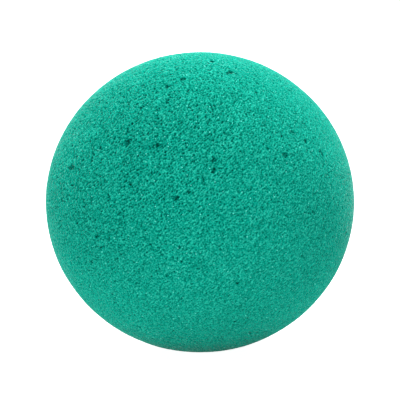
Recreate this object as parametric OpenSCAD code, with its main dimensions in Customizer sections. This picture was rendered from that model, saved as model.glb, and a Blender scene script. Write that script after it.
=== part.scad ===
// Floral foam ball
//
// A solid ball of open-celled foam that florists push stems, wires and dowels into.
// It is one piece of foam all the way through, cut a little wider than it is high,
// with no core, seam, hole or flat.
// The origin is the ball's centre and +Z is up, through the two poles. Sizes are in millimetres.

/* [Ball] */
// Width of the ball across its widest belt
ball_width = 80; // [40:0.5:300]
// Height of the ball from pole to pole
ball_height = 77.8; // [40:0.1:300]

/* [Hidden] */
foam_green = [0.09, 0.63, 0.55];
// How much lower the ball is than it is wide
squash = ball_height / ball_width;
$fn = 96;

// Half of the ball's oval outline, on the right of the line between the poles
module half_outline() {
    intersection() {
        scale([1, squash])
            circle(d = ball_width);
        translate([0, -ball_height])
            square([ball_width, 2 * ball_height]);
    }
}

// The ball: its half outline turned once round the line between the poles
module foam_ball() {
    color(foam_green)
        rotate_extrude()
            half_outline();
}

foam_ball();
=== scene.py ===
# Floral foam ball: a solid ball of fine green florist's foam, cut open all over its surface.
# Sizes are in metres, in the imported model's own frame: origin at the ball's centre, +Z up, front at -Y.
from itertools import product
from math import cos, pi, radians, sin, sqrt

import bpy
import numpy as np
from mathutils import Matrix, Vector


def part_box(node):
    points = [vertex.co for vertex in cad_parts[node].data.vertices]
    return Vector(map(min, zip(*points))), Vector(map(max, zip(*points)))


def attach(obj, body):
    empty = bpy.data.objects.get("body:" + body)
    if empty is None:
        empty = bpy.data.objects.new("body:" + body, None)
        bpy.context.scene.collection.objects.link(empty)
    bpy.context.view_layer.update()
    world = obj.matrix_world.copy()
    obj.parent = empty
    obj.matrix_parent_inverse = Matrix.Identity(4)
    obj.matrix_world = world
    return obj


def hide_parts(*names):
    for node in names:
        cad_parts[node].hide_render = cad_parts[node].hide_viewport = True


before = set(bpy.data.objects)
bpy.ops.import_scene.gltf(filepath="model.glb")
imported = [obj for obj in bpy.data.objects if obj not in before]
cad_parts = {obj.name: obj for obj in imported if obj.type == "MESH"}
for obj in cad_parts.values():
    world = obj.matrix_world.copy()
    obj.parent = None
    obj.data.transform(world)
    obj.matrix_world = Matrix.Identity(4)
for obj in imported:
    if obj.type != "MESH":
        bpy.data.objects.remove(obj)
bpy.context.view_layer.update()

lowCorner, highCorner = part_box("foam_ball")
halfSize = np.array((highCorner - lowCorner) / 2)
print(f"ball to cover: {2000 * halfSize[0]:.1f} mm wide, {2000 * halfSize[2]:.1f} mm high")

foamBall = {
    "squaresAcross": 360,  # mesh squares along each edge of the cube that is rounded into the ball
    "tileGap": 0.006,  # left around each side of the cube in the flat layout
    "seed": 11,
    "coarseSide": (-0.62, -0.28, 0.72),  # the direction in which the foam is coarsest
    "fineShare": 0.2,  # how strong the pores are on the finest side, as a share of the coarsest
    "drawnWay": (0.66, 0.15, 0.74),  # the cells are a little longer this way
    "drawnOut": 0.25,  # by how much; 0 leaves them round
    "keptUnder": 0.5,  # share of the finer relief that stays in a pore or a burst cell
    # open cells, evenly packed over the skin
    "pitSpacing": 0.00062,
    "pitShake": 0.22,  # in spacings
    "pitRadius": (0.00013, 0.00028),
    "pitDepth": 0.00045,
    "pitWall": 1.3,  # from a pit's middle to the top of its wall, in radii
    "finePit": 0.2,  # depth of a pit on the finest side, as a share
    "deepShare": 0.25,  # share of the pits given extra painted shade, so that they look deeper than the rest; they are cut no deeper
    # fine cells between them
    "cellSpacing": 0.00036,
    "cellDepth": 0.00018,
    "cellOpen": (0.1, 0.7, 1.3),  # shares of the depth: least, for a cell cut through its middle, most
    "openingWidth": 0.00010,  # from the ridge between two cells to the floor of their pits
    # rounder pores among the fine cells
    "poreSpacing": 0.00100,
    "poreRadius": (0.00010, 0.00032),
    "poreOpen": 0.5,  # share of a pore's depth that torn scraps leave open
    # burst cells all over, each a few bubbles that ran together
    "burstCount": 420,
    "burstRadius": (0.00024, 0.00050),
    "mostlySmall": 4,  # the higher, the fewer of them are large
    "burstOpen": 0.5,  # as poreOpen is for pores
    "bubbles": (3, 6),  # to one burst cell
    "bubbleShare": (0.4, 0.9),  # a bubble's radius as a share of its burst cell's
    "firstShare": 0.8,  # the first bubble's radius is no smaller than this share
    "firstStray": 0.1,  # how far bubbles lie from the middle, in radii of the burst cell
    "bubbleStray": 0.5,
    # larger ones on the front: across and up as shares of the half width and half height, and radius
    "frontBursts": [(-0.45, 0.51, 0.0008), (-0.24, 0.51, 0.0007), (-0.42, 0.27, 0.0006),
                    (-0.66, 0.15, 0.0005), (-0.15, 0.20, 0.0008), (-0.80, 0.32, 0.0008),
                    (0.52, 0.43, 0.0007), (0.08, 0.36, 0.0006), (0.19, 0.91, 0.0008),
                    (-0.11, 0.88, 0.0009), (0.57, 0.56, 0.0006), (0.75, 0.42, 0.0006),
                    (-0.20, 0.84, 0.0008), (-0.64, -0.08, 0.0005), (0.08, 0.97, 0.0009),
                    (-0.20, -0.30, 0.0005)],
    # gentle unevenness left by the cutting wire
    "lumpHeight": 0.00006,
    "lumpSize": 0.012,
    "lumpWaves": 24,
    # painted shade: how far each kind of pit goes towards the darkest green, darkening the hollows where
    # shade falls
    "tone": {"pits": 0.58, "deepPits": 0.45, "cells": 0.54, "pores": 0.28, "bursts": 0.46},
}
farAway = 9  # more than any point's gap to the nearest middles, in metres or in boxes
batchSize = 20000  # points worked on at a time, to keep memory small


def batchesOf(*lists):
    count = len(lists[0]) // batchSize + 1
    return zip(*(np.array_split(each, count) for each in lists))


def unitLength(ways):
    return ways / np.linalg.norm(ways, axis=-1, keepdims=True)


def cubeSkin(across):
    # points and squares on the six sides of a cube, shared along its edges, each side facing out,
    # and the place of every square's corners in a flat layout of three tiles by two
    step = np.arange(across + 1)
    u, v = np.meshgrid(step, step, indexing="ij")
    low, high = np.zeros_like(u), np.full_like(u, across)
    sides = [(high, u, v), (low, v, u), (v, high, u), (u, low, v), (u, v, high), (v, u, low)]
    tilesWide, tilesHigh = 3, 2
    gap = foamBall["tileGap"]
    squares, places = [], []
    for number, (x, y, z) in enumerate(sides):
        name = x + (across + 1) * (y + (across + 1) * z)
        around = [(slice(0, -1), slice(0, -1)), (slice(1, None), slice(0, -1)),
                  (slice(1, None), slice(1, None)), (slice(0, -1), slice(1, None))]
        squares.append(np.stack([name[corner] for corner in around], -1).reshape(-1, 4))
        tile = np.array([number % tilesWide, number // tilesWide])
        share = np.stack([np.stack([u[corner], v[corner]], -1) for corner in around], -2) / across
        places.append((tile + gap + (1 - 2 * gap) * share).reshape(-1, 2) / (tilesWide, tilesHigh))
    names, squares = np.unique(np.concatenate(squares), return_inverse=True)
    rows = names // (across + 1)
    grid = np.stack([names % (across + 1), rows % (across + 1), rows // (across + 1)], -1)
    return 2 * grid / across - 1, squares.reshape(-1, 4), np.concatenate(places)


def cellsAt(points, outward, spacing, seed):
    # one cell to each box of a grid, shaken about in it. For each point: how far its cell's middle is,
    # how much further the next one is, how high that middle sits above the cut, and its cell's luck
    boxes = 2 * int(halfSize.max() / spacing + 3)
    shake = np.random.default_rng(seed).random((4, boxes**3), np.float32)
    found = []
    for some, out in batchesOf(points, outward):
        x, y, z = (some / spacing + boxes // 2).astype(np.float32).T
        home = (x.astype(int) * boxes + y.astype(int)) * boxes + z.astype(int)
        x, y, z = x % 1, y % 1, z % 1
        outX, outY, outZ = out.astype(np.float32).T
        first = np.full(len(some), farAway, np.float32)
        second, above, nearest = first.copy(), np.zeros(len(some), np.float32), home
        for i, j, k in product((-1, 0, 1), repeat=3):
            box = home + (i * boxes + j) * boxes + k
            awayX, awayY, awayZ = shake[0][box] + i - x, shake[1][box] + j - y, shake[2][box] + k - z
            gap = awayX**2 + awayY**2 + awayZ**2
            above = np.where(gap < first, awayX * outX + awayY * outY + awayZ * outZ, above)
            nearest = np.where(gap < first, box, nearest)
            second = np.minimum(second, np.maximum(first, gap))
            first = np.minimum(first, gap)
        away = spacing * np.sqrt(first)
        gap = spacing * np.sqrt(second) - away
        found.append((away, gap, spacing * above, shake[3][nearest]))
    return [np.concatenate(part) for part in zip(*found)]


def packedCells(points, drawOut, seed):
    # open cells packed evenly over the skin in a spiral from pole to pole, each shaken a little.
    # For each point: how far its cell's middle is, and its cell's luck
    chance = np.random.default_rng(seed)
    spacing = foamBall["pitSpacing"]
    count = int(4 * pi * halfSize.prod() ** (2 / 3) / spacing**2)  # as many as the ball's area holds
    up = 1 - (2 * np.arange(count) + 1) / count
    turn = np.arange(count) * pi * (3 - sqrt(5))
    middles = np.stack([np.sqrt(1 - up**2) * np.cos(turn), np.sqrt(1 - up**2) * np.sin(turn), up], -1)
    middles += chance.normal(size=(count, 3)) * foamBall["pitShake"] * spacing / halfSize[0]
    middles = drawOut(middles * halfSize / np.linalg.norm(middles, axis=1, keepdims=True))
    luck = chance.random(count + 1, np.float32)

    # middles sorted into boxes, so that each point looks only at the boxes around it, which are wide
    # enough to hold the nearest one
    boxSize = 1.2 * spacing
    boxes = 2 * int(halfSize.max() / boxSize + 3)

    def boxOf(places):
        x, y, z = (places / boxSize + boxes // 2).astype(int).T
        return (x * boxes + y) * boxes + z

    home = boxOf(middles)
    order = np.argsort(home, kind="stable")
    home = home[order]
    rank = np.arange(count) - np.searchsorted(home, home)
    table = np.full((rank.max() + 1, boxes**3), count)  # count stands for no cell
    table[rank, home] = order
    middleX, middleY, middleZ = np.vstack([middles, (farAway,) * 3]).astype(np.float32).T
    found = []
    for (some,) in batchesOf(points):
        x, y, z = some.astype(np.float32).T
        home = boxOf(some)
        first = np.full(len(some), farAway, np.float32)
        nearest = np.full(len(some), count)
        for i, j, k in product((-1, 0, 1), repeat=3):
            for slot in table:
                cell = slot[home + (i * boxes + j) * boxes + k]
                gap = (middleX[cell] - x) ** 2 + (middleY[cell] - y) ** 2 + (middleZ[cell] - z) ** 2
                nearest = np.where(gap < first, cell, nearest)
                first = np.minimum(first, gap)
        found.append((np.sqrt(first), luck[nearest]))
    return [np.concatenate(part) for part in zip(*found)]


def cutBubble(radius, away, above):
    # how deep a bubble is cut open at a point: away from its middle, which is so high above the cut
    chord = radius**2 - away**2 + above**2
    return np.where(away < radius, np.maximum(np.sqrt(np.maximum(chord, 0)) - above, 0), 0)


def smoothStep(value):
    value = np.clip(value, 0, 1)
    return value * value * (3 - 2 * value)


def smoothNoise(points, size, seed):
    # soft random hills and hollows about size across, mostly from -1 to 1
    chance = np.random.default_rng(seed)
    waves = foamBall["lumpWaves"]
    total = np.zeros(len(points))
    for _ in range(waves):
        way = chance.normal(size=3)
        crowding = chance.uniform(0.6, 1.4)  # some waves are longer than size, some shorter
        way *= crowding * 2 * pi / size / np.linalg.norm(way)
        total += np.sin(points @ way + chance.uniform(0, 2 * pi))
    return 2 * total / waves


def burstCells(points, outward, seed):
    # how deep the burst cells are cut at each point. Each has a way out from the ball's centre, and a size
    chance = np.random.default_rng(seed)
    bursts = []
    for x, z, size in foamBall["frontBursts"]:
        bursts.append(((x, -sqrt(max(0, 1 - x * x - z * z)), z), size))
    small, large = foamBall["burstRadius"]
    for _ in range(foamBall["burstCount"]):
        way = chance.normal(size=3)
        bursts.append((way, small + (large - small) * chance.random() ** foamBall["mostlySmall"]))
    fewest, most = foamBall["bubbles"]
    reach = cos(radians(4))  # all of a burst cell's bubbles lie within 4 degrees of its middle
    depth = np.zeros(len(points))
    rough = outward.astype(np.float32)
    for way, size in bursts:
        middle = np.array(way) / np.linalg.norm(way) * halfSize
        around = np.flatnonzero(rough @ unitLength(middle / halfSize**2).astype(np.float32) > reach)
        for number in range(chance.integers(fewest, most + 1)):
            share = chance.uniform(*foamBall["bubbleShare"])
            stray = foamBall["bubbleStray"]
            if number == 0:
                share, stray = max(share, foamBall["firstShare"]), foamBall["firstStray"]
            radius = size * share
            centre = middle + chance.normal(size=3) * size * stray
            near = around[((points[around] - centre) ** 2).sum(1) < radius**2]
            toCentre = centre - points[near]
            above = (toCentre * outward[near]).sum(1)
            bubble = cutBubble(radius, np.linalg.norm(toCentre, axis=1), above)
            depth[near] = np.maximum(depth[near], bubble)
    return depth


def tearSkin(points, outward):
    # how deep the foam is torn at each point, and how much painted shade darkens its colour there
    paintedShades = foamBall["tone"]
    kept = foamBall["keptUnder"]
    seed = foamBall["seed"]
    facing = outward @ unitLength(np.array(foamBall["coarseSide"]))
    coarse = (0.5 + 0.5 * facing) ** 2  # 1 on the coarsest side, 0 on the side opposite
    strength = foamBall["fineShare"] + (1 - foamBall["fineShare"]) * coarse
    way = unitLength(np.array(foamBall["drawnWay"]))

    def drawOut(places):
        return places - foamBall["drawnOut"] * (places @ way)[:, None] * way

    # open cells
    drawn = drawOut(points)
    small, large = foamBall["pitRadius"]
    away, luck = packedCells(drawn, drawOut, seed)
    pits = smoothStep(foamBall["pitWall"] - away / (small + (large - small) * luck))
    pits = pits * (foamBall["finePit"] + (1 - foamBall["finePit"]) * strength)
    deepFrom = 1 - foamBall["deepShare"]
    deep = pits * smoothStep((luck - deepFrom) / foamBall["deepShare"]) * strength
    depth = foamBall["pitDepth"] * pits
    # painted shade: the colour darkens in the pits, and further in the deep-looking ones, which are cut no
    # deeper
    tone = paintedShades["pits"] * pits + paintedShades["deepPits"] * deep
    print("foam ball: open cells packed")

    # fine cells
    spacing = foamBall["cellSpacing"]
    least, middling, most = foamBall["cellOpen"]
    _, gap, above, _ = cellsAt(drawn, outward, spacing, seed + 1)
    cells = smoothStep(gap / foamBall["openingWidth"]) * np.clip(middling - above / spacing, least, most)
    depth += foamBall["cellDepth"] * cells
    # painted shade in the fine cells
    tone += paintedShades["cells"] * cells

    # pores
    small, large = foamBall["poreRadius"]
    away, _, above, luck = cellsAt(drawn, outward, foamBall["poreSpacing"], seed + 2)
    pores = cutBubble(small + (large - small) * luck * strength, away, above)
    depth = np.maximum(depth, foamBall["poreOpen"] * pores + kept * depth)
    # painted shade in the pores
    tone += paintedShades["pores"] * smoothStep(pores / large)
    print("foam ball: fine cells and pores cut")

    # burst cells
    bursts = burstCells(points, outward, seed + 3)
    depth = np.maximum(depth, foamBall["burstOpen"] * bursts + kept * depth)
    # painted shade in the burst cells
    tone += paintedShades["bursts"] * smoothStep(bursts / foamBall["burstRadius"][0])
    print(f"foam ball: torn {1000 * depth.mean():.2f} mm deep, up to {1000 * depth.max():.2f} mm")
    return depth, tone


def makeSurface(points, squares, places, tone):
    mesh = bpy.data.meshes.new("foamBallSurface")
    mesh.vertices.add(len(points))
    mesh.vertices.foreach_set("co", points.astype(np.float32).ravel())
    mesh.loops.add(squares.size)
    mesh.loops.foreach_set("vertex_index", squares.astype(np.int32).ravel())
    mesh.polygons.add(len(squares))
    mesh.polygons.foreach_set("loop_start", np.arange(0, squares.size, 4, dtype=np.int32))
    mesh.update(calc_edges=True)
    mesh.polygons.foreach_set("use_smooth", np.ones(len(squares), bool))
    layout = mesh.uv_layers.new(name="OFBake")
    layout.data.foreach_set("uv", places.astype(np.float32).ravel())
    # painted shade of the pits, which the material's colour ramp reads
    shade = mesh.attributes.new("paintedPitShade", "FLOAT", "POINT")
    shade.data.foreach_set("value", tone.astype(np.float32))
    mesh.validate()
    return mesh


def makeFoamBall():
    cube, squares, places = cubeSkin(foamBall["squaresAcross"])
    points = np.tan(cube * pi / 4)  # squares of nearly one size all over the ball
    points *= halfSize / np.linalg.norm(points, axis=1, keepdims=True)
    outward = unitLength(points / halfSize**2)
    print(f"foam ball: {len(points)} points, {len(squares)} squares")
    depth, tone = tearSkin(points, outward)
    lumps = foamBall["lumpHeight"] * smoothNoise(points, foamBall["lumpSize"], foamBall["seed"] + 4)
    points = points + outward * (lumps - depth)[:, None]
    ball = bpy.data.objects.new("foam_ball_surface", makeSurface(points, squares, places, tone))
    bpy.context.scene.collection.objects.link(ball)
    return ball


foamFinish = {
    # from the thin pale edges of the walls, partly their own paler green and partly a painted highlight,
    # through the walls' green, down to painted shade in the torn cells
    "greens": [(0.00, (0.032, 0.63, 0.475, 1)),
               (0.30, (0.003, 0.43, 0.308, 1)),
               (0.95, (0.0, 0.07, 0.052, 1))],
    "roughness": 0.9,
    "shine": 0.01,
    "sheen": 0.45,
    "sheenRoughness": 0.22,
    # scraps of wall that are lighter or darker than their neighbours
    "fleckSize": 0.00028,
    "fleckStrength": 0.25,
    # painted glints: pale specks in the base colour stand in for highlights off glossy scraps of wall,
    # which also get a lower roughness
    "glintSpacing": 0.0011,
    "glintSize": 0.00016,
    "glintShare": 0.30,
    "paintedGlintColour": (0.14, 0.95, 0.84, 1),
    "glintRoughness": 0.4,
    # grain too fine for the mesh
    "grainSize": 0.00018,
    "grainHeight": 0.00005,
}


def foamMaterial():
    material = bpy.data.materials.new("floralFoam")
    material.use_nodes = True
    tree = material.node_tree
    tree.nodes.clear()

    def add(kind, **settings):
        node = tree.nodes.new("ShaderNode" + kind)
        for name, value in settings.items():
            setattr(node, name, value)
        return node

    def join(start, end):
        tree.links.new(start, end)

    def sums(operation, first, second):
        node = add("Math", operation=operation)
        for number, value in enumerate((first, second)):
            if isinstance(value, (int, float)):
                node.inputs[number].default_value = value
            else:
                join(value, node.inputs[number])
        return node.outputs["Value"]

    def mixColour(blend, share, first, second):
        node = add("Mix", data_type="RGBA", blend_type=blend)
        for name, value in (("Factor", share), ("A", first), ("B", second)):
            socket = next(s for s in node.inputs if s.name == name and s.enabled)
            if isinstance(value, (int, float, tuple)):
                socket.default_value = value
            else:
                join(value, socket)
        return next(s for s in node.outputs if s.enabled)

    def crumbs(size):
        # small cells: how far a point is from its cell's middle, and the cell's luck
        node = add("TexVoronoi")
        node.inputs["Scale"].default_value = 1 / size
        join(place, node.inputs["Vector"])
        chance = add("SeparateColor")
        join(node.outputs["Color"], chance.inputs["Color"])
        return node.outputs["Distance"], chance.outputs["Red"]

    place = add("TexCoord").outputs["Object"]
    output = add("OutputMaterial")
    shader = add("BsdfPrincipled")
    join(shader.outputs["BSDF"], output.inputs["Surface"])
    shader.inputs["Specular IOR Level"].default_value = foamFinish["shine"]
    shader.inputs["Sheen Weight"].default_value = foamFinish["sheen"]
    shader.inputs["Sheen Roughness"].default_value = foamFinish["sheenRoughness"]

    # green walls with pale edges, partly a painted highlight, and painted shade darker down in the pits
    ramp = add("ValToRGB")
    join(add("Attribute", attribute_name="paintedPitShade").outputs["Fac"], ramp.inputs["Fac"])
    stops = ramp.color_ramp.elements
    while len(stops) < len(foamFinish["greens"]):
        stops.new(0.5)
    for stop, (position, colour) in zip(stops, foamFinish["greens"]):
        stop.position, stop.color = position, colour

    # lighter and darker flecks
    fleck = crumbs(foamFinish["fleckSize"])[1]
    swing = foamFinish["fleckStrength"]
    shade = sums("ADD", sums("MULTIPLY", fleck, 2 * swing), 1 - swing)
    tone = add("CombineColor")
    for name in ("Red", "Green", "Blue"):
        join(shade, tone.inputs[name])
    green = mixColour("MULTIPLY", 1.0, ramp.outputs["Color"], tone.outputs["Color"])

    # painted glints: pale specks in the base colour as highlights, with a lower roughness there
    apart, luck = crumbs(foamFinish["glintSpacing"])
    near = sums("LESS_THAN", apart, foamFinish["glintSize"] / foamFinish["glintSpacing"])
    glint = sums("MULTIPLY", near, sums("LESS_THAN", luck, foamFinish["glintShare"]))
    join(mixColour("MIX", glint, green, foamFinish["paintedGlintColour"]), shader.inputs["Base Color"])
    gloss = add("MapRange")
    gloss.inputs["To Min"].default_value = foamFinish["roughness"]
    gloss.inputs["To Max"].default_value = foamFinish["glintRoughness"]
    join(glint, gloss.inputs["Value"])
    join(gloss.outputs["Result"], shader.inputs["Roughness"])

    # fine grain
    grain = add("TexNoise")
    grain.inputs["Scale"].default_value = 1 / foamFinish["grainSize"]
    join(place, grain.inputs["Vector"])
    bump = add("Bump")
    bump.inputs["Distance"].default_value = foamFinish["grainHeight"]
    join(grain.outputs["Fac"], bump.inputs["Height"])
    join(bump.outputs["Normal"], shader.inputs["Normal"])
    return material


ball = makeFoamBall()
ball.data.materials.append(foamMaterial())
print("foam ball: finish on")
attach(ball, "root")
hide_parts("foam_ball")

studio = {
    "floorSize": 6.0,
    "floorWhite": (0.66, 0.66, 0.66, 1),
    "floorGlow": 0.97,  # lifts the floor to white where it is seen directly
    "floorGives": 0.14,  # how much of a glow it gives the ball
    "skySeen": 1.0,  # how white the sky is where it is seen directly
    "sky": 0.09,  # how much light it gives the ball
    # name, where it stands, width and power
    "softboxes": [("softboxTop", (0.0, 0.0, 1.0), 0.35, 3.0),
                  ("softboxBehind", (0.0, 0.94, 0.34), 0.35, 3.0),
                  ("softboxFrontRight", (0.15, -0.46, 0.87), 0.35, 4.3),
                  ("softboxFrontLeft", (-0.58, -0.80, 0.11), 0.35, 2.15),
                  ("softboxBehindRight", (0.40, 0.48, 0.78), 0.35, 7.44),
                  ("softboxBehindLeft", (-0.61, 0.61, 0.50), 0.35, 6.4)],
    "cameraRise": 10,  # degrees above the level of the ball's centre
    "cameraAway": 0.5,
    "ballShare": 0.7646,  # the ball's width as a share of the frame's longer side
}


def seenOnly(tree, strength, otherwise):
    # one strength for what the camera sees directly, another for the light it gives
    ray = tree.nodes.new("ShaderNodeLightPath")
    choice = tree.nodes.new("ShaderNodeMapRange")
    choice.inputs["To Min"].default_value = otherwise
    choice.inputs["To Max"].default_value = strength
    tree.links.new(ray.outputs["Is Camera Ray"], choice.inputs["Value"])
    return choice.outputs["Result"]


def makeFloor():
    half = studio["floorSize"] / 2
    level = float(lowCorner.z)
    mesh = bpy.data.meshes.new("floor")
    corners = [(-half, -half, level), (half, -half, level), (half, half, level), (-half, half, level)]
    mesh.from_pydata(corners, [], [(0, 1, 2, 3)])
    floor = bpy.data.objects.new("floor", mesh)
    bpy.context.scene.collection.objects.link(floor)
    material = bpy.data.materials.new("paleFloor")
    material.use_nodes = True
    tree = material.node_tree
    shader = tree.nodes["Principled BSDF"]
    shader.inputs["Base Color"].default_value = studio["floorWhite"]
    shader.inputs["Roughness"].default_value = 1
    shader.inputs["Specular IOR Level"].default_value = 0
    shader.inputs["Emission Color"].default_value = (1, 1, 1, 1)
    glow = seenOnly(tree, studio["floorGlow"], studio["floorGives"])
    tree.links.new(glow, shader.inputs["Emission Strength"])
    mesh.materials.append(material)


def makeLight(name, place, size, power):
    # a round softbox that faces the ball
    lamp = bpy.data.lights.new(name, "AREA")
    lamp.shape = "DISK"
    lamp.size = size
    lamp.energy = power
    holder = bpy.data.objects.new(name, lamp)
    holder.location = place
    holder.rotation_euler = (-Vector(place)).to_track_quat("-Z", "Y").to_euler()
    bpy.context.scene.collection.objects.link(holder)


def makeWorld():
    world = bpy.data.worlds.new("studioWhite")
    world.use_nodes = True
    tree = world.node_tree
    sky = tree.nodes["Background"]
    sky.inputs["Color"].default_value = (1, 1, 1, 1)
    tree.links.new(seenOnly(tree, studio["skySeen"], studio["sky"]), sky.inputs["Strength"])
    bpy.context.scene.world = world


def makeCamera():
    scene = bpy.context.scene
    camera = bpy.data.cameras.new("camera")
    rise, away = radians(studio["cameraRise"]), studio["cameraAway"]
    radius = float(halfSize[0])
    edge = radius / sqrt(away**2 - radius**2)  # slope of the line from the camera past the ball's side
    camera.lens = camera.sensor_width * studio["ballShare"] / 2 / edge
    camera.clip_start = 0.01
    holder = bpy.data.objects.new("camera", camera)
    holder.location = (0, -away * cos(rise), away * sin(rise))
    holder.rotation_euler = (pi / 2 - rise, 0, 0)
    scene.collection.objects.link(holder)
    scene.camera = holder
    scene.view_settings.view_transform = "Standard"


makeFloor()
makeWorld()
for name, place, size, power in studio["softboxes"]:
    makeLight(name, place, size, power)
makeCamera()
print("studio: floor, sky, softboxes and camera set")
